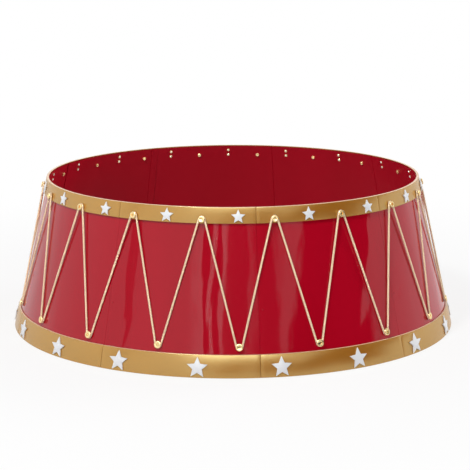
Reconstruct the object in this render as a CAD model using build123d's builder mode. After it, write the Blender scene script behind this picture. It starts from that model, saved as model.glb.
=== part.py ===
from build123d import *

import os
from math import atan2, cos, degrees, pi, radians, sin

# Drum-shaped collar that stands on the floor round the foot of a tree.
# Angles go round from the front, which faces -Y, towards +X. Lengths are in millimetres.
# A depth is measured square to the wall, inwards from the outer face of the bands.

# Drum
base_diameter = 762.0
rim_diameter = 640.0
drum_height = 258.0
panel_count = 9
bays_per_panel = 2
seat_gap = 0.15

# Wall panels
sheet = 0.8
lap_length = 13.0
lap_gap = 0.15
seam_gap = 1.0

# Bands
band_thickness = 3.2
lower_band_height = 35.5
lower_band_lift = 0.5
upper_band_height = 24.5
rim_lip = 1.4

# Studs
stud_sides = 6
neck_diameter = 5.0
head_diameter = 9.0
head_height = 1.8
crown_diameter = 5.4
lower_stud_rise = 10.8
upper_stud_rise = 6.1

# Lacing rope
rope_diameter = 3.2
rope_clearance = 0.4
rope_sides = 6
route_passes = 12
gap_samples = 6

# Knot that ties the rope's two ends
knot_sides = 8
knot_drop = 13.0
rope_end_gap = 6.0
knot_width = 12.0
knot_diameter = 9.0
knot_end_diameter = 6.0
rope_end_drop = 22.0
rope_end_spread = 14.0

# Stars
star_points = 5
star_thickness = 2.4
star_waist_share = 0.43
upper_star_width = 20.0
lower_star_width = 30.0
star_sink = 1.8

# Worked out from the sizes above
base_radius = base_diameter / 2
rim_radius = rim_diameter / 2
mean_radius = (base_radius + rim_radius) / 2
lean = atan2(base_radius - rim_radius, drum_height)
panel_arc = 360 / panel_count
bay_count = panel_count * bays_per_panel
bay_arc = 360 / bay_count
half_bay = bay_arc / 2
first_seam = bay_arc / 4
wall_depth = band_thickness + seat_gap
inner_depth = wall_depth + sheet
tail_depth = inner_depth + lap_gap
wall_top = drum_height - rim_lip - seat_gap
upper_band_foot = drum_height - upper_band_height
upper_stud_height = upper_band_foot + upper_stud_rise
lower_stud_height = lower_band_height + lower_stud_rise
upper_star_height = drum_height - upper_band_height / 2 - star_sink
lower_star_height = lower_band_height / 2 - star_sink
rope_radius = rope_diameter / 2
rope_lift = rope_clearance + rope_radius
wrap_radius = neck_diameter / 2 + rope_clearance + rope_radius
neck_length = rope_diameter + 2 * rope_clearance
panel_starts = [first_seam + number * panel_arc for number in range(panel_count)]


def radius_at(height, depth):
    """Radius, at a height, of the cone that lies at a depth."""
    return base_radius - (base_radius - rim_radius) * height / drum_height - depth / cos(lean)


def arc_angle(length):
    """Angle that a length takes up round the middle of the drum."""
    return degrees(length / mean_radius)


def meridian(angle):
    """Upright plane through the drum's axis: X points outwards, Y points up."""
    turn = radians(angle)
    return Plane(
        origin=(0, 0, 0),
        x_dir=(sin(turn), -cos(turn), 0),
        z_dir=(-cos(turn), -sin(turn), 0),
    )


def drum_point(angle, radius, height):
    """Point at an angle round the drum."""
    turn = radians(angle)
    return Vector(radius * sin(turn), -radius * cos(turn), height)


def seat_plane(angle, height, depth):
    """Plane that lies on the cone at a depth: X runs round the drum, Y runs up the wall."""
    turn = radians(angle)
    return Plane(
        origin=drum_point(angle, radius_at(height, depth), height),
        x_dir=(cos(turn), sin(turn), 0),
        z_dir=(sin(turn) * cos(lean), -cos(turn) * cos(lean), sin(lean)),
    )


def hoop(start, arc, *corners):
    """Turns an outline round the drum's axis. Each corner is a height and a depth."""
    with BuildSketch(meridian(start)) as section:
        with BuildLine():
            Polyline([(radius_at(height, depth), height) for height, depth in corners], close=True)
        make_face()
    revolve(section.sketch, axis=Axis.Z, revolution_arc=arc)


def save(builder, label):
    builder.part.label = label
    export_step(builder.part, f"parts/{label}.step")


os.makedirs("parts", exist_ok=True)
gap_arc = arc_angle(seam_gap)
lap_arc = arc_angle(lap_length)
step_arc = arc_angle(sheet)

# Wall panels: nine leaning sheets, each with a far end that steps in behind the next one
with BuildPart() as wall_panels:
    for start in panel_starts:
        step_start = start + panel_arc - gap_arc - step_arc
        hoop(
            start,
            panel_arc - gap_arc,
            (0, wall_depth),
            (wall_top, wall_depth),
            (wall_top, inner_depth),
            (0, inner_depth),
        )
        hoop(
            step_start,
            step_arc,
            (0, wall_depth),
            (wall_top, wall_depth),
            (wall_top, tail_depth + sheet),
            (0, tail_depth + sheet),
        )
        hoop(
            step_start,
            step_arc + gap_arc + lap_arc,
            (0, tail_depth),
            (wall_top, tail_depth),
            (wall_top, tail_depth + sheet),
            (0, tail_depth + sheet),
        )
save(wall_panels, "wall_panels")

# Upper band: one segment on each panel, with a lip over the sheet's top edge
with BuildPart() as upper_band:
    for start in panel_starts:
        hoop(
            start,
            panel_arc - gap_arc,
            (upper_band_foot, 0),
            (drum_height, 0),
            (drum_height, inner_depth),
            (drum_height - rim_lip, inner_depth),
            (drum_height - rim_lip, band_thickness),
            (upper_band_foot, band_thickness),
        )
save(upper_band, "upper_band")

# Lower band: one segment on each panel
with BuildPart() as lower_band:
    for start in panel_starts:
        hoop(
            start,
            panel_arc - gap_arc,
            (lower_band_lift, 0),
            (lower_band_height, 0),
            (lower_band_height, band_thickness),
            (lower_band_lift, band_thickness),
        )
save(lower_band, "lower_band")


def stud(plane, neck):
    """Stud that stands on a plane: a neck for the rope under a head that narrows outwards."""
    with BuildSketch(plane) as neck_section:
        RegularPolygon(neck_diameter / 2, stud_sides)
    extrude(neck_section.sketch, amount=neck)
    with BuildSketch(plane.offset(neck)) as head_section:
        RegularPolygon(head_diameter / 2, stud_sides)
    narrowing = (head_diameter - crown_diameter) / 2 * cos(pi / stud_sides)
    extrude(head_section.sketch, amount=head_height, taper=degrees(atan2(narrowing, head_height)))


# Studs: the upper row stands on the upper band, the lower row on the wall panels
upper_angles = [first_seam + half_bay / 2 + bay * bay_arc for bay in range(bay_count)]
lower_angles = [angle + half_bay for angle in upper_angles]
with BuildPart() as upper_studs:
    for angle in upper_angles:
        stud(seat_plane(angle, upper_stud_height, -seat_gap), neck_length - seat_gap)
save(upper_studs, "upper_studs")

with BuildPart() as lower_studs:
    for angle in lower_angles:
        stud(seat_plane(angle, lower_stud_height, band_thickness), neck_length - seat_gap)
save(lower_studs, "lower_studs")


def star(plane, width):
    """Flat star with one point up. Its width is measured across its side points."""
    point = width / (2 * sin(2 * pi / star_points))
    corners = []
    for corner in range(2 * star_points):
        reach = point if corner % 2 == 0 else point * star_waist_share
        turn = pi * corner / star_points
        corners.append((reach * sin(turn), reach * cos(turn)))
    with BuildSketch(plane) as outline:
        with BuildLine():
            Polyline(corners, close=True)
        make_face()
    extrude(outline.sketch, amount=star_thickness)


# Stars: small ones on the upper band over the lower studs, large ones on the lower band
# under the upper studs
for number, angle in enumerate(lower_angles):
    with BuildPart() as upper_star:
        star(seat_plane(angle, upper_star_height, -seat_gap), upper_star_width)
    save(upper_star, f"upper_star_{number + 1}")

for number, angle in enumerate(upper_angles):
    with BuildPart() as lower_star:
        star(seat_plane(angle, lower_star_height, -seat_gap), lower_star_width)
    save(lower_star, f"lower_star_{number + 1}")


def wrap_corners(axes, first, last):
    """Corners of a line that runs from first to last and goes round each axis in an arc.

    The corner of two legs stands beyond the axis, on the line that halves the angle between
    them. Each pass sets every corner again from the two next to it.
    """
    corners = list(axes)
    for _ in range(route_passes):
        line = [first, *corners, last]
        settled = []
        for axis, before, corner, after in zip(axes, line, corners, line[2:]):
            back = (before - corner).normalized()
            ahead = (after - corner).normalized()
            half_spread_sine = (back - ahead).length / 2
            settled.append(axis - (back + ahead).normalized() * (wrap_radius / half_spread_sine))
        corners = settled
    return corners


# Lacing rope: from the knot at the back, round every stud in turn, and back to the knot.
# It lies on the band at the upper studs and on the sheet at the lower ones. The back stud
# stands between the two ends, and the knot lies under it, on the band.
back_angle = 180
last_turn = 2 * bay_count
axes = []
for turn_number in range(1, last_turn):
    height, depth = (upper_stud_height, 0) if turn_number % 2 == 1 else (lower_stud_height, wall_depth)
    stud_seat = seat_plane(back_angle + turn_number * half_bay, height, depth)
    axes.append(stud_seat.from_local_coords((0, 0, rope_lift)))
wraps = len(axes)
knot_seat = seat_plane(back_angle, lower_stud_height - knot_drop, -rope_lift)
first_end = knot_seat.from_local_coords((rope_end_gap / 2, 0, 0))
last_end = knot_seat.from_local_coords((-rope_end_gap / 2, 0, 0))
route = [first_end, *wrap_corners(axes, first_end, last_end), last_end]

with BuildPart() as lacing_rope:
    with BuildLine() as rope_line:
        FilletPolyline(*route, radius=[wrap_radius] * wraps)
    rope_length = rope_line.wire().length
    with BuildSketch(Plane(origin=rope_line.line @ 0, z_dir=rope_line.line % 0)) as rope_section:
        RegularPolygon(rope_radius, rope_sides)
    sweep(rope_section.sketch, path=rope_line.wire())
    swept_volume = lacing_rope.part.volume
    knot_middle_plane = Plane(
        origin=knot_seat.from_local_coords((0, 0, knot_diameter / 2 - rope_radius)),
        x_dir=knot_seat.y_dir,
        z_dir=knot_seat.x_dir,
    )
    with BuildSketch(knot_middle_plane) as knot_section:
        RegularPolygon(knot_diameter / 2, knot_sides)
    narrowing = (knot_diameter - knot_end_diameter) / 2 * cos(pi / knot_sides)
    slope = degrees(atan2(narrowing, knot_width / 2))
    extrude(knot_section.sketch, amount=knot_width / 2, taper=slope)
    extrude(knot_section.sketch, amount=-knot_width / 2, taper=slope)
    for side in (-1, 1):
        free_end = knot_seat.from_local_coords((side * rope_end_spread / 2, -rope_end_drop, 0))
        drop = free_end - knot_seat.origin
        with BuildSketch(Plane(origin=knot_seat.origin, z_dir=drop)) as end_section:
            RegularPolygon(rope_radius, rope_sides)
        extrude(end_section.sketch, amount=drop.length)
save(lacing_rope, "lacing_rope")


def least_gap(wire):
    """Least gap of the rope to itself, measured on points along its line."""
    stations = []
    travelled = 0
    for edge in wire.edges().sort_by(wire):
        for sample in range(gap_samples):
            share = sample / gap_samples
            stations.append((travelled + share * edge.length, edge @ share))
        travelled += edge.length
    stations.append((travelled, wire @ 1))
    apart = [
        (point - other).length
        for place, (along, point) in enumerate(stations)
        for further, other in stations[place + 1 :]
        if further - along > pi * wrap_radius
    ]
    return min(apart) - rope_diameter


section_area = rope_section.sketch.area
print(f"rope length {rope_length:.1f} mm, every radius {wrap_radius:.2f} mm, {wraps} turns")
print(f"rope volume {swept_volume:.1f}, section x length {section_area * rope_length:.1f}")
print(f"least gap of the rope to itself {least_gap(rope_line.wire()):.2f} mm")
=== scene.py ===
from math import atan2, cos, degrees, pi, radians, sin, tau

import bmesh
import bpy
from mathutils import Matrix, Vector


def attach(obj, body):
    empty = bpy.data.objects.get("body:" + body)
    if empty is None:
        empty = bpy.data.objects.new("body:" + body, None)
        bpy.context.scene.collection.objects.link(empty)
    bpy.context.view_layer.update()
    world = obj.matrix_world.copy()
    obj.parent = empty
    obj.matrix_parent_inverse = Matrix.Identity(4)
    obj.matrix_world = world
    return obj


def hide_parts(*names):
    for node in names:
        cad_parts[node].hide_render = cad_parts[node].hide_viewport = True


bl_info = {
    "name": "Christmas tree collar",
    "version": (1, 0, 0),
    "blender": (4, 5, 0),
    "location": "3D View > Sidebar > Collar",
    "description": "Builds a drum-shaped tree collar with laced rope, studs and stars",
    "category": "Object",
}

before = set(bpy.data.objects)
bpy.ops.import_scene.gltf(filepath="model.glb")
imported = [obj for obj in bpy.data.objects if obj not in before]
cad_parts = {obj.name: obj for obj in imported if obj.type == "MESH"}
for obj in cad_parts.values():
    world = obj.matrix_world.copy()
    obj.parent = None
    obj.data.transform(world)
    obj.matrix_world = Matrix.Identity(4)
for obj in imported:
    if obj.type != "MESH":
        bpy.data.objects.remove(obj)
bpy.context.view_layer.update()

# Angles are in degrees, from the front round to the right.
PANELS = 9
BAYS = 18
FIRST_SEAM = 5.0
PANEL_ARC = 360 / PANELS
BAY_ARC = 360 / BAYS
PANEL_ANGLES = [PANEL_ARC * panel for panel in range(PANELS)]
UPPER_ANGLES = [10 + BAY_ARC * bay for bay in range(BAYS)]
LOWER_ANGLES = [20 + BAY_ARC * bay for bay in range(BAYS)]

SEAT_GAP = 0.00015  # between a piece and what it stands on
PANEL_SEAM = 0.4  # open part of a seam between two panels
BAND_SEAM = 0.35  # open part of a seam between two band segments
BAND_FOOT = 0.0005  # from the floor to the lower band
STAR_WAIST = 0.46  # reach of a star's inner corners, as a share of its points' reach
SCREW_HEIGHT = 0.102  # from the floor to the seam screws
SCREW_SHIFT = 0.006  # from a seam to its screw
KNOT_DROP = 0.0130  # from the back stud down to the knot
ROPE_REACH = 0.0043  # from a stud's middle to the points that lead the rope round it
STRANDS = 3
STRAND_REACH = 0.56  # from the rope's middle line to a strand's back, in rope diameters
CARD_HEIGHT = 3
CARD_WAVER = 0.15  # how far a card's soft edges waver, as a share of its pattern's width


# Settings


class CollarDrum(bpy.types.PropertyGroup):
    """Sizes of the leaning wall and of its two bands."""

    base_diameter: bpy.props.FloatProperty(
        name="Base diameter",
        description="Outside diameter at the floor",
        default=0.762,
        unit="LENGTH",
    )
    rim_diameter: bpy.props.FloatProperty(
        name="Rim diameter",
        description="Outside diameter at the top edge",
        default=0.640,
        unit="LENGTH",
    )
    height: bpy.props.FloatProperty(
        name="Height",
        description="Height of the top edge above the floor",
        default=0.258,
        unit="LENGTH",
    )
    sheet: bpy.props.FloatProperty(
        name="Sheet",
        description="Thickness of the red wall sheet",
        default=0.0008,
        unit="LENGTH",
    )
    lap: bpy.props.FloatProperty(
        name="Lap",
        description="Length by which a panel runs on behind the next one",
        default=0.013,
        unit="LENGTH",
    )
    seam: bpy.props.FloatProperty(
        name="Seam",
        description="Width of a seam, part of which stays open as a gap",
        default=0.001,
        unit="LENGTH",
    )
    band: bpy.props.FloatProperty(
        name="Band",
        description="Thickness of the gold bands",
        default=0.0032,
        unit="LENGTH",
    )
    lower_band: bpy.props.FloatProperty(
        name="Lower band",
        description="Height of the lower band's top edge",
        default=0.0355,
        unit="LENGTH",
    )
    upper_band: bpy.props.FloatProperty(
        name="Upper band",
        description="Height of the upper band",
        default=0.0245,
        unit="LENGTH",
    )
    lip: bpy.props.FloatProperty(
        name="Lip",
        description="Height of the lip over the sheet's top edge",
        default=0.0014,
        unit="LENGTH",
    )


class CollarTrim(bpy.types.PropertyGroup):
    """Sizes of the studs, the stars and the rope."""

    neck_diameter: bpy.props.FloatProperty(
        name="Stud neck",
        description="Diameter of a stud's neck, which the rope goes round",
        default=0.005,
        unit="LENGTH",
    )
    head_diameter: bpy.props.FloatProperty(
        name="Stud head",
        description="Diameter of a stud's head",
        default=0.009,
        unit="LENGTH",
    )
    head_height: bpy.props.FloatProperty(
        name="Head height",
        description="Height of a stud's head above its neck",
        default=0.0018,
        unit="LENGTH",
    )
    upper_stud_height: bpy.props.FloatProperty(
        name="Upper studs",
        description="Height of the upper studs above the floor",
        default=0.2396,
        unit="LENGTH",
    )
    lower_stud_height: bpy.props.FloatProperty(
        name="Lower studs",
        description="Height of the lower studs above the floor",
        default=0.0463,
        unit="LENGTH",
    )
    upper_star_width: bpy.props.FloatProperty(
        name="Small stars",
        description="Width of the stars on the upper band",
        default=0.0218,
        unit="LENGTH",
    )
    lower_star_width: bpy.props.FloatProperty(
        name="Large stars",
        description="Width of the stars on the lower band",
        default=0.0322,
        unit="LENGTH",
    )
    upper_star_height: bpy.props.FloatProperty(
        name="Small star height",
        description="Height of the small stars above the floor",
        default=0.24395,
        unit="LENGTH",
    )
    lower_star_height: bpy.props.FloatProperty(
        name="Large star height",
        description="Height of the large stars above the floor",
        default=0.01595,
        unit="LENGTH",
    )
    star_thickness: bpy.props.FloatProperty(
        name="Star thickness",
        description="Thickness of a star",
        default=0.0022,
        unit="LENGTH",
    )
    rope_diameter: bpy.props.FloatProperty(
        name="Rope",
        description="Diameter of the lacing rope",
        default=0.0032,
        unit="LENGTH",
    )
    rope_lift: bpy.props.FloatProperty(
        name="Rope lift",
        description="Distance from what the rope lies on to its middle line",
        default=0.0020,
        unit="LENGTH",
    )
    rope_lay: bpy.props.FloatProperty(
        name="Rope lay",
        description="Length in which a strand goes once round the rope",
        default=0.0150,
        unit="LENGTH",
    )


class CollarColours(bpy.types.PropertyGroup):
    """Colours of the finishes."""

    red: bpy.props.FloatVectorProperty(
        name="Wall red",
        description="Colour of the glossy wall",
        subtype="COLOR",
        size=4,
        min=0,
        max=1,
        default=(0.40, 0.002, 0.014, 1),
    )
    gold: bpy.props.FloatVectorProperty(
        name="Band gold",
        description="Colour of the satin bands",
        subtype="COLOR",
        size=4,
        min=0,
        max=1,
        default=(0.385, 0.130, 0.006, 1),
    )
    brass: bpy.props.FloatVectorProperty(
        name="Stud brass",
        description="Colour of the studs",
        subtype="COLOR",
        size=4,
        min=0,
        max=1,
        default=(1.0, 0.80, 0.44, 1),
    )
    white: bpy.props.FloatVectorProperty(
        name="Star white",
        description="Colour of the stars",
        subtype="COLOR",
        size=4,
        min=0,
        max=1,
        default=(0.77, 0.78, 0.80, 1),
    )
    rope: bpy.props.FloatVectorProperty(
        name="Rope gold",
        description="Colour of the lacing rope",
        subtype="COLOR",
        size=4,
        min=0,
        max=1,
        default=(1.0, 0.82, 0.55, 1),
    )


class CollarStage(bpy.types.PropertyGroup):
    """Light in the studio."""

    key_power: bpy.props.FloatProperty(
        name="Key light",
        description="Power of the light high on the left",
        default=45,
        unit="POWER",
    )
    left_power: bpy.props.FloatProperty(
        name="Left light",
        description="Power of the large light at the left",
        default=10,
        unit="POWER",
    )
    right_power: bpy.props.FloatProperty(
        name="Right light",
        description="Power of the large light at the right",
        default=72,
        unit="POWER",
    )
    surround: bpy.props.FloatProperty(
        name="Surround",
        description="Strength of the light that comes from all round",
        default=0.55,
    )


# Places on the drum


def lean():
    """Angle by which the wall leans inwards."""
    drum = bpy.context.scene.collar_drum
    return atan2((drum.base_diameter - drum.rim_diameter) / 2, drum.height)


def radius_at(height, depth):
    """Radius, at a height, of the cone that lies at a depth behind the bands' outer face."""
    drum = bpy.context.scene.collar_drum
    taper = (drum.base_diameter - drum.rim_diameter) / 2 / drum.height
    return drum.base_diameter / 2 - taper * height - depth / cos(lean())


def wall_face():
    """Depth of the wall's outer face, just behind the bands."""
    return bpy.context.scene.collar_drum.band + SEAT_GAP


def arc_angle(length):
    """Angle in degrees that a length takes up round the middle of the drum."""
    drum = bpy.context.scene.collar_drum
    return degrees(length / ((drum.base_diameter + drum.rim_diameter) / 4))


def seat(angle, height, depth):
    """Matrix of a seat on the drum: X runs round it, Y up the wall and Z outwards."""
    turn = radians(angle)
    slope = lean()
    radius = radius_at(height, depth)
    across = Vector((cos(turn), sin(turn), 0))
    out = Vector((sin(turn) * cos(slope), -cos(turn) * cos(slope), sin(slope)))
    up = out.cross(across)
    rows = Matrix((across, up, out)).transposed().to_4x4()
    rows.translation = Vector((radius * sin(turn), -radius * cos(turn), height))
    return rows


def numbered(stem, count):
    """Names that end in 1, 2, 3 and so on."""
    return [f"{stem}_{number + 1}" for number in range(count)]


# Modelling


def start_clean():
    """Leaves edit mode and drops the selection."""
    if bpy.context.mode != "OBJECT":
        bpy.ops.object.mode_set(mode="OBJECT")
    bpy.ops.object.select_all(action="DESELECT")


def choose(piece):
    """Selects one piece alone and makes it the active one."""
    start_clean()
    piece.select_set(True)
    bpy.context.view_layer.objects.active = piece


def edit(piece):
    """Opens a piece in edit mode."""
    choose(piece)
    bpy.ops.object.mode_set(mode="EDIT")


def pick(kind, wanted):
    """Selects, in edit mode, what passes a test on its middle and its normal or direction."""
    bpy.ops.mesh.select_mode(type=kind)
    bpy.ops.mesh.select_all(action="DESELECT")
    mesh = bpy.context.edit_object.data
    shape = bmesh.from_edit_mesh(mesh)
    for part in {"VERT": shape.verts, "EDGE": shape.edges, "FACE": shape.faces}[kind]:
        if kind == "VERT":
            middle, normal = part.co, part.normal
        elif kind == "EDGE":
            ends = [end.co for end in part.verts]
            middle, normal = sum(ends, Vector()) / 2, (ends[1] - ends[0]).normalized()
        else:
            middle, normal = part.calc_center_median(), part.normal
        if wanted(middle, normal):
            part.select_set(True)
    shape.select_flush_mode()
    bmesh.update_edit_mesh(mesh)


def apply_modifier(piece, kind, **settings):
    """Adds a modifier, sets it and applies it."""
    choose(piece)
    modifier = piece.modifiers.new(kind.title(), kind)
    for name, value in settings.items():
        setattr(modifier, name, value)
    bpy.ops.object.modifier_apply(modifier=modifier.name)


def round_edges(piece, width, segments, sharper_than):
    """Bevels the edges that are sharper than an angle in degrees."""
    apply_modifier(
        piece,
        "BEVEL",
        width=width,
        segments=segments,
        limit_method="ANGLE",
        angle_limit=radians(sharper_than),
    )


def settle(piece):
    """Puts the piece's place into its mesh and leaves the object at the origin."""
    choose(piece)
    bpy.ops.object.transform_apply(location=True, rotation=True, scale=True)


def smooth(piece, angle=35):
    """Shades a piece smooth except at the edges sharper than an angle in degrees."""
    choose(piece)
    bpy.ops.object.shade_smooth_by_angle(angle=radians(angle))


def level(height, near):
    """Brings the points near a height, in edit mode, to that height."""
    pick("VERT", lambda middle, normal: abs(middle.z - height) < near)
    bpy.ops.transform.resize(value=(1, 1, 0), center_override=(0, 0, height))


def close_up(piece):
    """Merges doubles and turns every face outwards."""
    edit(piece)
    bpy.ops.mesh.select_all(action="SELECT")
    bpy.ops.mesh.remove_doubles(threshold=0.000001)
    bpy.ops.mesh.normals_make_consistent(inside=False)
    bpy.ops.object.mode_set(mode="OBJECT")


def copy_to(piece, name, matrix):
    """Copy of a piece, with its own mesh, at another place."""
    copy = piece.copy()
    copy.data = piece.data.copy()
    copy.name = name
    copy.data.name = name
    copy.data.transform(matrix)
    bpy.context.scene.collection.objects.link(copy)
    return copy


def finish_piece(piece, finish, slot, *nodes):
    """Gives a piece its finish and ties it to the frame."""
    piece.data.materials.clear()
    piece.data.materials.append(finish)
    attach(piece, "root")
    if nodes:
        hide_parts(*nodes)


def second_finish(piece, finish, wanted):
    """Gives another finish to the faces that pass a test."""
    piece.data.materials.append(finish)
    for face in piece.data.polygons:
        if wanted(face):
            face.material_index = 1


def around(piece, names, angles, finish, slot, nodes):
    """Copies a piece, which stands at the first angle, to each angle, and drops the first."""
    copies = []
    for name, angle, node in zip(names, angles, nodes):
        copy = copy_to(piece, name, Matrix.Rotation(radians(angle - angles[0]), 4, "Z"))
        finish_piece(copy, finish, slot, node)
        copies.append(copy)
    bpy.data.objects.remove(piece)
    return copies


def cone_sector(name, foot, top, depth, start, arc):
    """Open strip of a cone between two heights and over an arc, cut from a whole cone."""
    start_clean()
    bpy.ops.mesh.primitive_cone_add(
        vertices=360,
        radius1=radius_at(foot, depth),
        radius2=radius_at(top, depth),
        depth=top - foot,
        end_fill_type="NOTHING",
        location=(0, 0, (foot + top) / 2),
    )
    piece = bpy.context.active_object
    piece.name = name
    settle(piece)
    edit(piece)
    for angle, side in ((start, 1), (start + arc, -1)):
        turn = radians(angle)
        bpy.ops.mesh.select_all(action="SELECT")
        bpy.ops.mesh.bisect(
            plane_co=(0, 0, 0),
            plane_no=(side * cos(turn), side * sin(turn), 0),
            clear_inner=True,
        )
    return piece


def turned_face(rings, sides):
    """Raises a round face through rings of radius and height, as on a lathe."""
    first_radius, first_height = rings[0]
    start_clean()
    bpy.ops.mesh.primitive_circle_add(
        vertices=sides, radius=first_radius, fill_type="NGON", location=(0, 0, first_height)
    )
    piece = bpy.context.active_object
    settle(piece)
    edit(piece)
    bpy.ops.mesh.select_mode(type="FACE")
    bpy.ops.mesh.select_all(action="SELECT")
    for (radius, height), (next_radius, next_height) in zip(rings, rings[1:]):
        share = next_radius / radius
        bpy.ops.mesh.extrude_region_move(
            TRANSFORM_OT_translate={"value": (0, 0, next_height - height)}
        )
        bpy.ops.transform.resize(value=(share, share, 1), center_override=(0, 0, next_height))
    bpy.ops.object.mode_set(mode="OBJECT")
    close_up(piece)
    return piece


# Finishes


def new_finish(name):
    """New material, with its node tree and its shader."""
    material = bpy.data.materials.new(name)
    material.use_nodes = True
    tree = material.node_tree
    return material, tree, tree.nodes["Principled BSDF"]


def made_once(maker):
    """Turns a maker of nodes into a finish that is made when it is first asked for."""

    def finish():
        material = bpy.data.materials.get(maker.__name__)
        if material is None:
            material, tree, shader = new_finish(maker.__name__)
            maker(tree, shader)
        return material

    return finish


def set_inputs(node, values):
    """Sets inputs of a node by their names or numbers."""
    for socket, value in values.items():
        node.inputs[socket].default_value = value


def add(tree, kind, x, y, values=None, **settings):
    """Adds a node to a tree, with its settings and the values of its inputs."""
    node = tree.nodes.new(kind)
    node.location = (x, y)
    for name, value in settings.items():
        setattr(node, name, value)
    set_inputs(node, values or {})
    return node


def link(start, output, end, *sockets):
    """Links a node's output to one or more inputs of another node."""
    for socket in sockets:
        end.id_data.links.new(start.outputs[output], end.inputs[socket])


def noise(tree, y, scale, detail=2, stretch=(1, 1, 1), distortion=0, source="Object"):
    """Noise in a piece's own coordinates. A low stretch draws it out along an axis."""
    place = add(tree, "ShaderNodeTexCoord", -1300, y)
    draw = add(tree, "ShaderNodeMapping", -1050, y, {"Scale": stretch})
    values = {"Scale": scale, "Detail": detail, "Distortion": distortion}
    pattern = add(tree, "ShaderNodeTexNoise", -800, y, values)
    link(place, source, draw, "Vector")
    link(draw, "Vector", pattern, "Vector")
    return pattern


def share_of(colour, *shares):
    """Tone with a share of a colour's red, green and blue."""
    return [part * share for part, share in zip(colour, shares)]


def tones(tree, pattern, low, high, start=0, end=1):
    """Colour that goes with a pattern from one tone to another."""
    ramp = add(tree, "ShaderNodeValToRGB", -500, 200)
    for stop, place, colour in zip(ramp.color_ramp.elements, (start, end), (low, high)):
        stop.position = place
        stop.color = (*colour[:3], 1)
    link(pattern, "Fac", ramp, "Fac")
    return ramp


def paint(tree, shader, pattern, low, high, **span):
    """Base colour that goes with a pattern from one tone to another."""
    link(tones(tree, pattern, low, high, **span), "Color", shader, "Base Color")


def relief(tree, pattern, strength, distance, y=-200):
    """Bumps that follow a pattern."""
    values = {"Strength": strength, "Distance": distance}
    bumps = add(tree, "ShaderNodeBump", -230, y, values)
    link(pattern, "Fac", bumps, "Height")
    return bumps


def polish(tree, pattern, shader, smoothest, roughest):
    """Roughness that follows a pattern."""
    span = add(tree, "ShaderNodeMapRange", -500, -50, {"To Min": smoothest, "To Max": roughest})
    link(pattern, "Fac", span, "Value")
    link(span, "Result", shader, "Roughness")


def seen_directly(tree):
    """Share that is 1 for the camera, gloss and glass, and 0 for the light on other things."""
    path = add(tree, "ShaderNodeLightPath", -400, 200)
    either = add(tree, "ShaderNodeMath", -200, 200, operation="MAXIMUM")
    any_of = add(tree, "ShaderNodeMath", 0, 200, operation="MAXIMUM")
    link(path, "Is Camera Ray", either, 0)
    link(path, "Is Glossy Ray", either, 1)
    link(either, "Value", any_of, 0)
    link(path, "Is Transmission Ray", any_of, 1)
    return any_of


def blended(tree, share, first, second):
    """Sends out a blend of two shaders. The share and the shaders are outputs of nodes."""
    blend = add(tree, "ShaderNodeMixShader", 400, 0)
    tree.links.new(share, blend.inputs["Fac"])
    tree.links.new(first, blend.inputs[1])
    tree.links.new(second, blend.inputs[2])
    link(blend, "Shader", tree.get_output_node("ALL"), "Surface")


def upright_waves(tree, y, scale, tall):
    """Noise that is drawn out upwards, as the waves in a bent sheet are."""
    return noise(tree, y, scale, detail=1, stretch=(1, 1, tall), distortion=0.4)


def paint_red(tree, shader, waves):
    """Red that is a little deeper here and there."""
    red = bpy.context.scene.collar_colours.red
    paint(tree, shader, waves, share_of(red, 0.93, 0.8, 0.85), red, start=0.3, end=0.7)


@made_once
def red_enamel(tree, shader):
    """Glossy red enamel: even colour, with the slow upright waves of bent sheet metal."""
    slow = upright_waves(tree, -200, scale=8, tall=0.22)
    quick = upright_waves(tree, -500, scale=48, tall=0.05)
    bend = relief(tree, slow, strength=1, distance=0.0045)
    streak = relief(tree, quick, strength=1, distance=0.00032, y=-400)
    link(bend, "Normal", streak, "Normal")
    link(streak, "Normal", shader, "Normal", "Coat Normal")
    paint_red(tree, shader, slow)
    set_inputs(shader, {"Roughness": 0.5, "Specular IOR Level": 0})
    set_inputs(shader, {"Coat Weight": 1, "Coat IOR": 1.4, "Coat Roughness": 0.035})


@made_once
def plain_red(tree, shader):
    """Duller red of the sheet's inner side, with the fine grain of a thin coat."""
    slow = upright_waves(tree, -200, scale=8, tall=0.22)
    grain = noise(tree, -500, scale=700)
    skin = relief(tree, grain, strength=0.15, distance=0.0002)
    link(skin, "Normal", shader, "Normal")
    paint_red(tree, shader, slow)
    set_inputs(shader, {"Roughness": 0.42, "Specular IOR Level": 0.1})


@made_once
def satin_gold(tree, shader):
    """Satin gold paint over brushed sheet."""
    gold = bpy.context.scene.collar_colours.gold
    brush = noise(tree, -200, scale=60, detail=5, stretch=(1, 1, 16))
    cloud = noise(tree, 200, scale=12)
    paint(tree, shader, cloud, share_of(gold, 0.95, 0.94, 0.9), gold, start=0.3, end=0.7)
    polish(tree, brush, shader, smoothest=0.22, roughest=0.26)
    lines = relief(tree, brush, strength=0.03, distance=0.0003)
    link(lines, "Normal", shader, "Normal")
    set_inputs(shader, {"IOR": 2.77, "Specular Tint": (1, 0.95, 0.45, 1)})


@made_once
def painted_highlight_gold(tree, shader):
    """Painted highlight: a paler, pinker gold painted on the ledges, where light from above would
    catch them.
    """
    cloud = noise(tree, 200, scale=90, detail=3)
    paint(tree, shader, cloud, (0.70, 0.47, 0.30), (0.86, 0.64, 0.47))
    set_inputs(shader, {"Roughness": 0.4})


@made_once
def smooth_brass(tree, shader):
    """Smooth brass in the hollow of the studs and on the pins' washers."""
    cloud = noise(tree, 200, scale=400)
    paint(tree, shader, cloud, (0.72, 0.50, 0.22), (0.95, 0.72, 0.36))
    set_inputs(shader, {"Roughness": 0.12, "Metallic": 1})


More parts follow.
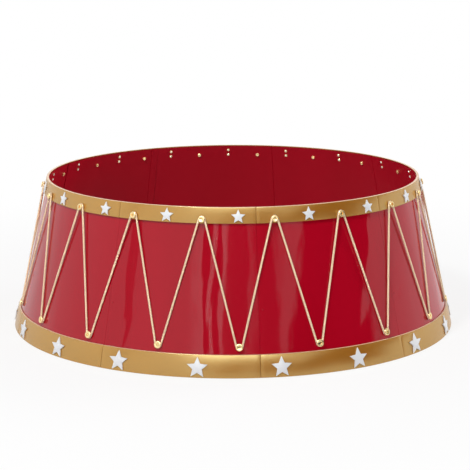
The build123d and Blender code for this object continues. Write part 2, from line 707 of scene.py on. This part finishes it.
@made_once
def bright_steel(tree, shader):
    """Bright metal of the pins' ends."""
    wear = noise(tree, -200, scale=500)
    polish(tree, wear, shader, smoothest=0.2, roughest=0.35)
    set_inputs(shader, {"Base Color": (0.93, 0.92, 0.90, 1), "Metallic": 0.7})


@made_once
def polished_brass(tree, shader):
    """Polished brass, a little duller where it is handled."""
    brass = bpy.context.scene.collar_colours.brass
    wear = noise(tree, 0, scale=350, detail=3)
    paint(tree, shader, wear, share_of(brass, 0.85, 0.8, 0.72), brass)
    polish(tree, wear, shader, smoothest=0.18, roughest=0.34)
    set_inputs(shader, {"Metallic": 1})


@made_once
def white_enamel(tree, shader):
    """White enamel with a faint unevenness."""
    white = bpy.context.scene.collar_colours.white
    cloud = noise(tree, 0, scale=160, detail=3)
    paint(tree, shader, cloud, share_of(white, 0.93, 0.94, 0.97), white)
    skin = relief(tree, cloud, strength=0.06, distance=0.0002)
    link(skin, "Normal", shader, "Normal")
    set_inputs(shader, {"Roughness": 0.34})


@made_once
def gold_cord(tree, shader):
    """Twisted metallic cord, with painted shade in the grooves between its strands and where its
    yarns sink. Its UV map runs along the rope and round its strands.
    """
    rope = bpy.context.scene.collar_colours.rope
    place = add(tree, "ShaderNodeUVMap", -1300, 200, uv_map="lay")
    turned = add(tree, "ShaderNodeMapping", -1050, 0, {"Rotation": (0, 0, radians(45))})
    values = {"Scale": 5.4, "Distortion": 1.2, "Detail": 1, "Detail Scale": 3}
    yarns = add(tree, "ShaderNodeTexWave", -800, 0, values)
    link(place, "UV", turned, "Vector")
    link(turned, "Vector", yarns, "Vector")
    # Painted shade: the colour darkens where the yarns sink, following the same pattern as their
    # bumps.
    tone = tones(tree, yarns, share_of(rope, 0.95, 0.88, 0.82), rope, end=0.7)
    # Painted shade: a darker, deeper colour is mixed in along the grooves between the strands,
    # where shade falls.
    split = add(tree, "ShaderNodeSeparateXYZ", -1050, 450)
    strand = add(tree, "ShaderNodeMath", -850, 450, {1: STRANDS}, operation="MULTIPLY")
    within = add(tree, "ShaderNodeMath", -680, 450, {1: 0.5}, operation="PINGPONG")
    values = {"From Min": 0.40, "From Max": 0.48}
    groove_shade_mask = add(tree, "ShaderNodeMapRange", -500, 450, values, interpolation_type="SMOOTHSTEP")
    link(place, "UV", split, "Vector")
    link(split, "Y", strand, 0)
    link(strand, "Value", within, 0)
    link(within, "Value", groove_shade_mask, "Value")
    # Colour of the painted shade in the strand grooves.
    groove_shade_colour = (*share_of(rope, 0.78, 0.44, 0.3), 1)
    shade = add(tree, "ShaderNodeMix", -230, 300, {"B": groove_shade_colour}, data_type="RGBA")
    link(groove_shade_mask, "Result", shade, "Factor")
    link(tone, "Color", shade, "A")
    link(shade, "Result", shader, "Base Color")
    fibre = relief(tree, yarns, strength=0.6, distance=0.00035)
    link(fibre, "Normal", shader, "Normal")
    set_inputs(shader, {"Metallic": 0.35, "Sheen Weight": 0.6, "Roughness": 0.36})


# Pieces


class CollarCamera(bpy.types.Operator):
    """Places the camera at the photograph's viewing angle."""

    bl_idname = "collar.camera"
    bl_label = "Camera"

    def execute(self, context):
        data = bpy.data.cameras.new("camera")
        data.sensor_width = 36
        data.lens = 133.41
        data.shift_x = 0.00457
        data.clip_end = 40
        camera = bpy.data.objects.new("camera", data)
        context.scene.collection.objects.link(camera)
        context.scene.camera = camera
        place = Matrix.Translation((-0.07684, -2.97058, 0.76413))
        heading = Matrix.Rotation(-0.02586, 4, "Z")
        tilt = Matrix.Rotation(pi / 2 - 0.20436, 4, "X")
        roll = Matrix.Rotation(-0.00328, 4, "Z")
        camera.matrix_world = place @ heading @ tilt @ roll
        return {"FINISHED"}


class CollarWall(bpy.types.Operator):
    """Nine glossy red panels, each with a far end that steps in behind the next one."""

    bl_idname = "collar.wall"
    bl_label = "Wall panels"

    def execute(self, context):
        drum = context.scene.collar_drum
        top = drum.height - drum.lip - SEAT_GAP
        arc = PANEL_ARC - arc_angle(drum.seam * PANEL_SEAM)
        panel = cone_sector("wall_panel", 0, top, wall_face(), FIRST_SEAM, arc)
        self.lapped_tail(drum, radians(FIRST_SEAM + arc))
        bpy.ops.object.mode_set(mode="OBJECT")
        close_up(panel)
        # An open strip has no inside, so its faces may have been turned either way.
        if sum(face.normal.xy.dot(face.center.xy) for face in panel.data.polygons) < 0:
            edit(panel)
            bpy.ops.mesh.select_all(action="SELECT")
            bpy.ops.mesh.flip_normals()
            bpy.ops.object.mode_set(mode="OBJECT")
        apply_modifier(panel, "SOLIDIFY", thickness=drum.sheet, offset=-1)
        edit(panel)
        level(0, near=0.0005)
        level(top, near=0.0005)
        smooth(panel)
        names = numbered("wall_panel", PANELS)
        nodes = ["wall_panels"] * PANELS
        for piece in around(panel, names, PANEL_ANGLES, red_enamel(), "wall", nodes):
            second_finish(piece, plain_red(), lambda face: face.normal.xy.dot(face.center.xy) < 0)
        return {"FINISHED"}

    def lapped_tail(self, drum, turn):
        """Runs the panel's far edge on, in edit mode: one step inwards and then the lap."""
        step, lap = radians(arc_angle(drum.sheet)), radians(arc_angle(drum.lap))
        depth = (drum.sheet + SEAT_GAP) / cos(lean())
        along = Vector((cos(turn), sin(turn), 0))
        out = Vector((sin(turn), -cos(turn), 0))
        pick("EDGE", lambda middle, way: abs(middle.dot(along)) < 1e-5 and middle.dot(out) > 0)
        bpy.ops.mesh.spin(steps=1, angle=-step, center=(0, 0, 0), axis=(0, 0, 1))
        bpy.ops.transform.translate(value=-out * depth)
        bpy.ops.mesh.spin(steps=2, angle=-lap, center=(0, 0, 0), axis=(0, 0, 1))


class CollarBands(bpy.types.Operator):
    """Two rings of gold band segments, the upper one with a lip over the wall's edge."""

    bl_idname = "collar.bands"
    bl_label = "Bands"

    def execute(self, context):
        drum = context.scene.collar_drum
        arc = PANEL_ARC - arc_angle(drum.seam * BAND_SEAM)
        rows = (
            ("upper_band", drum.height - drum.upper_band, drum.height),
            ("lower_band", BAND_FOOT, drum.lower_band),
        )
        for node, foot, top in rows:
            band = cone_sector(node, foot, top, 0, FIRST_SEAM, arc)
            bpy.ops.object.mode_set(mode="OBJECT")
            apply_modifier(band, "SOLIDIFY", thickness=drum.band, offset=-1)
            edit(band)
            level(foot, near=0.001)
            level(top, near=0.001)
            if node == "upper_band":
                self.lip(drum)
            close_up(band)
            round_edges(band, width=0.0006, segments=3, sharper_than=40)
            smooth(band)
            names = numbered(f"{node}_segment", PANELS)
            nodes = [node] * PANELS
            for piece in around(band, names, PANEL_ANGLES, satin_gold(), "band", nodes):
                # The upward-facing ledges get the paler gold, a painted highlight of the light
                # from above.
                second_finish(piece, painted_highlight_gold(), lambda face: face.normal.z > 0.8)
        return {"FINISHED"}

    def lip(self, drum):
        """Draws the top of the band, in edit mode, inwards over the wall's top edge."""
        edge = drum.height - drum.lip
        bpy.ops.mesh.select_all(action="SELECT")
        bpy.ops.mesh.bisect(plane_co=(0, 0, edge), plane_no=(0, 0, 1))
        pick(
            "FACE",
            lambda middle, normal: middle.z > edge
            and normal.dot(middle) < -0.2
            and abs(normal.z) < 0.5,
        )
        bpy.ops.mesh.extrude_region_shrink_fatten(
            TRANSFORM_OT_shrink_fatten={"value": drum.sheet + SEAT_GAP}
        )
        level(edge, near=0.0005)
        level(drum.height, near=0.0005)


class CollarStuds(bpy.types.Operator):
    """Two rows of brass studs, deeply hollow above, wider and less hollow below."""

    bl_idname = "collar.studs"
    bl_label = "Studs"

    def execute(self, context):
        trim = context.scene.collar_trim
        rows = (
            ("upper", UPPER_ANGLES, trim.upper_stud_height, 0, 1.15, 0.0028),
            ("lower", LOWER_ANGLES, trim.lower_stud_height, wall_face(), 1.3, 0.0013),
        )
        for row, angles, height, depth, share, hollow in rows:
            stud = self.stud(trim, trim.head_diameter / 2 * share, hollow)
            within = trim.neck_diameter / 2 * 0.95
            inner = {
                face.index
                for face in stud.data.polygons
                if face.center.xy.length < within and face.center.z > trim.rope_lift
            }
            stud.data.transform(seat(angles[0], height, depth))
            names = numbered(f"{row}_brass_stud", BAYS)
            nodes = [f"{row}_studs"] * BAYS
            for piece in around(stud, names, angles, polished_brass(), "stud", nodes):
                second_finish(piece, smooth_brass(), lambda face: face.index in inner)
        return {"FINISHED"}

    def stud(self, trim, head, hollow):
        """Stud on a round neck, with a head of a given radius and a hollow of a given depth."""
        neck = trim.neck_diameter / 2
        rope = 2 * trim.rope_lift
        tall = rope + trim.head_height
        rings = [
            (neck, SEAT_GAP),
            (neck, rope - 0.0002),
            (neck * 1.1, rope),
            (head * 0.94, rope),
            (head, rope + 0.0004),
            (head, tall - 0.0008),
            (head * 0.96, tall - 0.0003),
            (head * 0.86, tall),
            (head * 0.66, tall),
            (neck, tall - 0.0003),
            (neck * 0.92, tall - 0.0008),
            (neck * 0.88, tall - hollow),
            (neck * 0.20, tall - hollow - 0.0002),
        ]
        stud = turned_face(rings, sides=24)
        smooth(stud, angle=40)
        return stud


class CollarStars(bpy.types.Operator):
    """Small white stars on the upper band and large ones on the lower band."""

    bl_idname = "collar.stars"
    bl_label = "Stars"

    def execute(self, context):
        trim = context.scene.collar_trim
        rows = (
            ("upper", LOWER_ANGLES, trim.upper_star_height, trim.upper_star_width),
            ("lower", UPPER_ANGLES, trim.lower_star_height, trim.lower_star_width),
        )
        for row, angles, height, width in rows:
            star = self.star(width / (2 * sin(tau / 5)), trim.star_thickness)
            star.data.transform(seat(angles[0], height, -SEAT_GAP))
            names = numbered(f"{row}_white_star", BAYS)
            around(star, names, angles, white_enamel(), "star", numbered(f"{row}_star", BAYS))
        return {"FINISHED"}

    def star(self, reach, thickness):
        """Five-pointed star, from a ten-sided disc with every other corner drawn in."""
        start_clean()
        bpy.ops.mesh.primitive_circle_add(vertices=10, radius=reach, fill_type="NGON")
        star = bpy.context.active_object
        edit(star)
        turns = [tau * (corner + 0.5) / 5 for corner in range(5)]
        waist = [Vector((sin(turn), cos(turn), 0)) * reach for turn in turns]
        pick("VERT", lambda middle, normal: min((middle - spot).length for spot in waist) < 1e-4)
        bpy.ops.transform.resize(value=(STAR_WAIST, STAR_WAIST, 1), center_override=(0, 0, 0))
        bpy.ops.mesh.select_mode(type="FACE")
        bpy.ops.mesh.select_all(action="SELECT")
        bpy.ops.mesh.extrude_region_move(TRANSFORM_OT_translate={"value": (0, 0, thickness)})
        bpy.ops.object.mode_set(mode="OBJECT")
        close_up(star)
        round_edges(star, width=0.00025, segments=2, sharper_than=60)
        smooth(star, angle=40)
        return star


class CollarRope(bpy.types.Operator):
    """Twisted rope laced round every stud in turn and knotted at the back."""

    bl_idname = "collar.rope"
    bl_label = "Lacing rope"

    def execute(self, context):
        trim = context.scene.collar_trim
        knot = seat(180, trim.lower_stud_height - KNOT_DROP, -trim.rope_lift)
        first_end = [
            (-0.0072, -0.0215, 0.0000),
            (-0.0066, -0.0160, 0.0004),
            (-0.0040, -0.0090, 0.0012),
        ]
        rise = [(0.0050, 0.0050, 0.0006), (0.0056, 0.0085, 0.0000)]
        last_end = [
            (-0.0056, 0.0085, 0.0000),
            (-0.0050, 0.0050, 0.0006),
            (-0.0020, 0.0020, 0.0026),
            (0.0018, -0.0040, 0.0026),
            (0.0050, -0.0110, 0.0008),
            (0.0068, -0.0162, 0.0002),
            (0.0070, -0.0210, 0.0000),
        ]
        route = [knot @ Vector(place) for place in first_end + self.coil() + rise]
        for number in range(1, 2 * BAYS):
            start, crown, end = self.round_stud(trim, number)
            if number > 1:
                leg = (start - route[-1]).normalized() * ROPE_REACH * 1.3
                route += [route[-1] + leg, start - leg]
            route += [start, crown, end]
        route += [knot @ Vector(place) for place in last_end]
        line = smooth_line("lacing_line", route)
        piece = laid_rope("laced_rope", line, trim.rope_diameter * STRAND_REACH, trim.rope_lay)
        finish_piece(piece, gold_cord(), "rope", "lacing_rope")
        return {"FINISHED"}

    def coil(self):
        """Places on the knot's three turns, which follow one another across it."""
        reach, width, lift, turns, steps = 0.0030, 0.0078, 0.0026, 3, 18
        places = []
        for count in range(steps + 1):
            turn = tau * turns * count / steps
            across = width * (count / steps - 0.5)
            places.append((across, -reach * cos(turn), lift - reach * sin(turn)))
        return places

    def round_stud(self, trim, number):
        """Three points that lead the rope over an upper stud or under a lower one."""
        angle = 180 + BAY_ARC / 2 * number
        if number % 2 == 1:
            stud, up = seat(angle, trim.upper_stud_height, 0), ROPE_REACH
        else:
            stud, up = seat(angle, trim.lower_stud_height, wall_face()), -ROPE_REACH
        side = ROPE_REACH * 0.84
        # The curve cuts the corner at each point, so the middle one stands further out.
        places = ((-side, up * 0.713), (0, up * 1.10), (side, up * 0.713))
        return [stud @ Vector((across, high, trim.rope_lift)) for across, high in places]


def smooth_line(name, points):
    """Points read from one smooth curve that is led by the given points."""
    curve = bpy.data.curves.new(name, "CURVE")
    curve.dimensions = "3D"
    curve.resolution_u = 10
    spline = curve.splines.new("NURBS")
    spline.points.add(len(points) - 1)
    for control, point in zip(spline.points, points):
        control.co = (*point, 1)
    spline.order_u = 3
    spline.use_endpoint_u = True
    holder = bpy.data.objects.new(name, curve)
    bpy.context.scene.collection.objects.link(holder)
    bpy.context.view_layer.update()
    mesh = bpy.data.meshes.new_from_object(holder)
    line = [vertex.co.copy() for vertex in mesh.vertices]
    bpy.data.objects.remove(holder)
    bpy.data.curves.remove(curve)
    bpy.data.meshes.remove(mesh)
    return line


def even_steps(line, step):
    """Points a step apart along a line."""
    points, left = [line[0]], step
    for start, end in zip(line, line[1:]):
        length = (end - start).length
        while length > 0 and left <= length:
            start = start.lerp(end, left / length)
            length -= left
            points.append(start)
            left = step
        left -= length
    return points


def laid_rope(name, line, radius, lay):
    """Three-strand rope along a line, as one closed skin that turns once in each lay."""
    profile = [1.0, 0.90, 0.68, 0.90] * STRANDS
    count = len(profile)
    step = lay / 10
    points = even_steps(line, step)
    last = len(points) - 1
    side = (points[1] - points[0]).normalized().orthogonal()
    rings = []
    for number, point in enumerate(points):
        way = (points[min(number + 1, last)] - points[max(number - 1, 0)]).normalized()
        side = (side - way * side.dot(way)).normalized()
        over = way.cross(side)
        taper = 1 if 0 < number < last else 0.6
        turn = tau * number * step / lay
        for corner, reach in enumerate(profile):
            angle = turn + tau * corner / count
            out = side * cos(angle) + over * sin(angle)
            rings.append(point + out * reach * radius * taper)
    skin, places = [], []
    for number in range(last):
        low, high = number * count, (number + 1) * count
        start, end = number * step / lay, (number + 1) * step / lay
        for corner in range(count):
            following = (corner + 1) % count
            near, far = corner / count, (corner + 1) / count
            skin.append((low + corner, low + following, high + following, high + corner))
            places += [(start, near), (start, far), (end, far), (end, near)]
    skin.append(tuple(range(count - 1, -1, -1)))
    skin.append(tuple(range(last * count, (last + 1) * count)))
    places += [(0, corner / count) for corner in range(count)] * 2
    mesh = bpy.data.meshes.new(name)
    mesh.from_pydata(rings, [], skin)
    layer = mesh.uv_layers.new(name="lay")
    for loop, place in zip(layer.data, places):
        loop.uv = place
    piece = bpy.data.objects.new(name, mesh)
    bpy.context.scene.collection.objects.link(piece)
    smooth(piece, angle=80)
    return piece


class CollarFasteners(bpy.types.Operator):
    """Seam screws, and on the inside the ends of the stars' pins and the studs' nuts."""

    bl_idname = "collar.fasteners"
    bl_label = "Fasteners"

    def execute(self, context):
        trim = context.scene.collar_trim
        self.seam_screws()
        self.star_pins("upper", LOWER_ANGLES, trim.upper_star_height, apart=0.0090)
        self.star_pins("lower", UPPER_ANGLES, trim.lower_star_height, apart=0.0130)
        self.stud_nuts("upper", UPPER_ANGLES, trim.upper_stud_height)
        self.stud_nuts("lower", LOWER_ANGLES, trim.lower_stud_height)
        return {"FINISHED"}

    def seam_screws(self):
        """One small red screw beside each seam."""
        rings = [
            (0.0014, 0),
            (0.0014, 0.0003),
            (0.0012, 0.0006),
            (0.0007, 0.0008),
            (0.0002, 0.0009),
        ]
        screw = turned_face(rings, sides=16)
        first = FIRST_SEAM + arc_angle(SCREW_SHIFT)
        places = [seat(first + angle, SCREW_HEIGHT, wall_face()) for angle in PANEL_ANGLES]
        self.row("seam_screws", screw, places, red_enamel(), "wall")

    def star_pins(self, row, angles, height, apart):
        """Rounded ends of the two pins that hold each star, on brass washers."""
        rings = [
            (0.0026, 0),
            (0.0026, 0.0004),
            (0.0024, 0.0006),
            (0.0016, 0.0006),
            (0.0015, 0.0012),
            (0.0011, 0.0016),
            (0.0003, 0.0018),
        ]
        pin = turned_face(rings, sides=16)
        count = len(pin.data.polygons)
        washer = {face.index for face in pin.data.polygons if face.center.xy.length > 0.0018}
        heights = (height - apart / 2, height + apart / 2)
        places = [self.inner_seat(angle, pair) for angle in angles for pair in heights]
        pins = self.row(f"{row}_star_pins", pin, places, bright_steel(), "stud")
        second_finish(pins, smooth_brass(), lambda face: face.index % count in washer)

    def stud_nuts(self, row, angles, height):
        """Hexagonal nut on each stud, with the rounded end of the stud's screw."""
        rings = [(0.0034, 0), (0.0034, 0.0020), (0.0030, 0.0024), (0.0018, 0.0024)]
        nut = turned_face(rings, sides=6)
        edit(nut)
        pick("FACE", lambda middle, normal: normal.z > 0.9 and middle.xy.length < 0.0001)
        bpy.ops.mesh.extrude_region_move(TRANSFORM_OT_translate={"value": (0, 0, 0.0012)})
        bpy.ops.mesh.bevel(offset=0.0004, segments=2)
        bpy.ops.object.mode_set(mode="OBJECT")
        close_up(nut)
        places = [self.inner_seat(angle, height) for angle in angles]
        self.row(f"{row}_stud_nuts", nut, places, polished_brass(), "stud")

    def inner_seat(self, angle, height):
        """Matrix of a seat on the sheet's inner face, with Z inwards."""
        depth = wall_face() + bpy.context.scene.collar_drum.sheet
        return seat(angle, height, depth) @ Matrix.Rotation(pi, 4, "X")

    def row(self, name, piece, places, finish, slot):
        """Joins copies of a small piece at many places into one, and drops the first."""
        smooth(piece, angle=40)
        copies = [copy_to(piece, name, place) for place in places]
        bpy.data.objects.remove(piece)
        start_clean()
        for copy in copies:
            copy.select_set(True)
        bpy.context.view_layer.objects.active = copies[0]
        bpy.ops.object.join()
        finish_piece(copies[0], finish, slot)
        return copies[0]


class CollarStageMaker(bpy.types.Operator):
    """Pale floor, soft studio light and a white surround with dark and bright cards."""

    bl_idname = "collar.stage"
    bl_label = "Stage"

    def execute(self, context):
        stage = context.scene.collar_stage
        context.scene.view_settings.view_transform = "Standard"
        start_clean()
        bpy.ops.mesh.primitive_plane_add(size=14)
        floor = bpy.context.active_object
        floor.name = "floor"
        floor.data.materials.append(self.white_floor())
        self.white_world(context.scene, stage.surround)
        self.lamp("key", stage.key_power, (-1.05, -1.75, 2.45), 0.4, 0.4)
        self.lamp("left", stage.left_power, (-3.4, 1.1, 1.2), 2.0, 2.4)
        self.lamp("right", stage.right_power, (3.4, 1.3, 1.2), 2.0, 2.4)

        # Angle, distance, width of the pattern and height of the card's foot. Then the
        # pattern's glow, soft edge, depth, slant and the height that the slant leaves in place.
        cards = (
            ("dark_card_right", 50.1, 3.8, 2.3, 0, 0, 0.13, 1, -2.1, 0.33),
            ("dark_card_far", 69.5, 3.7, 4.5, 0, 0, 0.04, 1, -5.07, 0.2594),
            ("dark_card_stand", 0, 3.8, 0.95, -1.62, 0, 0.16, 0.85, -0.6, 0.87),
            ("dark_card_pole", -10.5, 3.8, 0.24, -1.62, 0, 0.2, 0.95, 1.5, 0.87),
            ("dark_card_rail", -17, 3.8, 0.34, -1.62, 0, 0.2, 0.95, 1.5, 0.87),
            ("dark_card_seam", 16, 3.8, 1.6, -1.62, 0, 0.4, 0.9, 0, 0.33),
            ("dark_card_left", -57.2, 3.8, 0.3, 0, 0, 0.2, 0.7, -6.2, 0.33),
            ("dark_card_low", 64, 3.6, 2.4, -2.56, 0, 0.25, 1, 0, 0.33),
            ("bright_card_front", -13, 5, 2.4, 0, 0.75, 0.3, 1, 0, 0.33),
            ("bright_card_top", -1, 3.8, 4.2, 1.40, 3.4, 0.3, 1, 0, 0.33),
        )
        for name, angle, distance, wide, foot, *pattern in cards:
            self.card(name, angle, distance, wide, foot, self.soft_card(name, *pattern))
        return {"FINISHED"}

    def lamp(self, name, power, place, wide, high):
        """Rectangular lamp that shines at the middle of the drum. Only the key shows in gloss."""
        data = bpy.data.lights.new(name, "AREA")
        data.energy = power
        data.shape = "RECTANGLE"
        data.size, data.size_y = wide, high
        lamp = bpy.data.objects.new(name, data)
        lamp.location = place
        middle = Vector((0, 0, 0.13))
        way = Vector(place) - middle
        lamp.rotation_euler = way.to_track_quat("Z", "Y").to_euler()
        lamp.visible_camera = False
        lamp.visible_glossy = name == "key"
        bpy.context.scene.collection.objects.link(lamp)

    def card(self, name, angle, distance, wide, foot, finish):
        """Upright card that only gloss sees. Its pattern fills the middle half of its width."""
        start_clean()
        bpy.ops.mesh.primitive_plane_add(size=1)
        card = bpy.context.active_object
        card.name = name
        card.data.materials.append(finish)
        turn = radians(angle)
        middle = (distance * sin(turn), -distance * cos(turn), foot + CARD_HEIGHT / 2)
        card.data.transform(Matrix.Diagonal((2 * wide, CARD_HEIGHT, 1, 1)))
        card.data.transform(Matrix.Rotation(pi / 2, 4, "X"))
        card.data.transform(Matrix.Rotation(turn, 4, "Z"))
        card.data.transform(Matrix.Translation(middle))
        for kind in ("camera", "diffuse", "shadow", "transmission", "volume_scatter"):
            setattr(card, f"visible_{kind}", False)

    def soft_card(self, name, glow, edge, depth, slant, pivot):
        """Dark pattern, or a glow over the surround, with soft edges that lean and waver."""
        material, tree, shader = new_finish(name)
        tree.nodes.remove(shader)
        place = add(tree, "ShaderNodeTexCoord", -1300, 100)
        split = add(tree, "ShaderNodeSeparateXYZ", -1050, 100)
        link(place, "UV", split, "Vector")
        waver = noise(tree, -250, scale=1, stretch=(1.5, 20, 1), source="UV")
        values = {"To Min": -1 - CARD_WAVER, "To Max": -1 + CARD_WAVER}
        push = add(tree, "ShaderNodeMapRange", -550, -250, values)
        link(waver, "Fac", push, "Value")
        values = {1: slant, 2: -pivot * slant}
        lean_over = add(tree, "ShaderNodeMath", -550, 150, values, operation="MULTIPLY_ADD")
        link(split, "Y", lean_over, 0)
        across = add(tree, "ShaderNodeMath", -350, 0, {1: 2}, operation="MULTIPLY_ADD")
        link(split, "X", across, 0)
        link(push, "Result", across, 2)
        along = add(tree, "ShaderNodeMath", -180, 100, operation="ADD")
        link(across, "Value", along, 0)
        link(lean_over, "Value", along, 1)
        apart = add(tree, "ShaderNodeMath", -10, 0, operation="ABSOLUTE")
        link(along, "Value", apart, 0)
        values = {"From Min": 0.5 - edge, "From Max": 0.5, "To Min": depth, "To Max": 0}
        fade = add(tree, "ShaderNodeMapRange", 160, 0, values, interpolation_type="SMOOTHSTEP")
        link(apart, "Value", fade, "Value")
        clear = add(tree, "ShaderNodeBsdfTransparent", 0, 300)
        light = add(tree, "ShaderNodeEmission", 0, -300, {"Strength": glow})
        pattern = light.outputs["Emission"]
        if glow:
            both = add(tree, "ShaderNodeAddShader", 200, -300)
            link(clear, "BSDF", both, 0)
            link(light, "Emission", both, 1)
            pattern = both.outputs["Shader"]
        blended(tree, fade.outputs["Result"], clear.outputs["BSDF"], pattern)
        return material

    def white_floor(self):
        """Floor that looks white to the camera and in gloss, and keeps the shadow."""
        material, tree, shader = new_finish("floor")
        set_inputs(shader, {"Base Color": (0.80, 0.80, 0.80, 1), "Roughness": 0.9})
        set_inputs(shader, {"Specular IOR Level": 0.1})
        glow = add(tree, "ShaderNodeEmission", 0, -300, {"Strength": 1})
        place = add(tree, "ShaderNodeTexCoord", -600, 600)
        reach = add(tree, "ShaderNodeVectorMath", -400, 600, operation="LENGTH")
        link(place, "Object", reach, 0)
        values = {"From Min": 0.45, "From Max": 1.3, "To Min": 0.8, "To Max": 1}
        fade = add(tree, "ShaderNodeMapRange", -200, 600, values, interpolation_type="SMOOTHSTEP")
        link(reach, "Value", fade, "Value")
        share = add(tree, "ShaderNodeMath", 200, 400, operation="MULTIPLY")
        link(seen_directly(tree), "Value", share, 0)
        link(fade, "Result", share, 1)
        blended(tree, share.outputs["Value"], shader.outputs["BSDF"], glow.outputs["Emission"])
        return material

    def white_world(self, scene, strength):
        """White surround that gives less light than the camera and the gloss see in it."""
        world = bpy.data.worlds.new("studio")
        scene.world = world
        world.use_nodes = True
        tree = world.node_tree
        soft = tree.nodes["Background"]
        set_inputs(soft, {"Color": (1, 1, 1, 1), "Strength": strength})
        values = {"Color": (1, 1, 1, 1), "Strength": 1}
        white = add(tree, "ShaderNodeBackground", 0, -200, values)
        share = seen_directly(tree).outputs["Value"]
        blended(tree, share, soft.outputs["Background"], white.outputs["Background"])


class CollarPanel(bpy.types.Panel):
    """Lists the settings and the operators that build the collar."""

    bl_idname = "VIEW3D_PT_collar"
    bl_label = "Christmas tree collar"
    bl_space_type = "VIEW_3D"
    bl_region_type = "UI"
    bl_category = "Collar"

    def draw(self, context):
        for step in STEPS:
            self.layout.operator(step.bl_idname)
        for name, kind in GROUPS.items():
            box = self.layout.box()
            for setting in kind.__annotations__:
                box.prop(getattr(context.scene, name), setting)


STEPS = (
    CollarCamera,
    CollarRope,
    CollarWall,
    CollarBands,
    CollarStuds,
    CollarStars,
    CollarFasteners,
    CollarStageMaker,
)
GROUPS = {
    "collar_drum": CollarDrum,
    "collar_trim": CollarTrim,
    "collar_colours": CollarColours,
    "collar_stage": CollarStage,
}


def register():
    """Adds the settings, the operators and the panel."""
    for kind in (*GROUPS.values(), *STEPS, CollarPanel):
        bpy.utils.register_class(kind)
    for name, kind in GROUPS.items():
        setattr(bpy.types.Scene, name, bpy.props.PointerProperty(type=kind))


def unregister():
    """Takes them out again."""
    for name in GROUPS:
        delattr(bpy.types.Scene, name)
    for kind in reversed((*GROUPS.values(), *STEPS, CollarPanel)):
        bpy.utils.unregister_class(kind)


def main():
    """Builds the collar and its stage."""
    register()
    bpy.ops.collar.camera()
    bpy.ops.collar.rope()
    bpy.ops.collar.wall()
    bpy.ops.collar.bands()
    bpy.ops.collar.studs()
    bpy.ops.collar.stars()
    bpy.ops.collar.fasteners()
    bpy.ops.collar.stage()


if __name__ == "__main__":
    main()
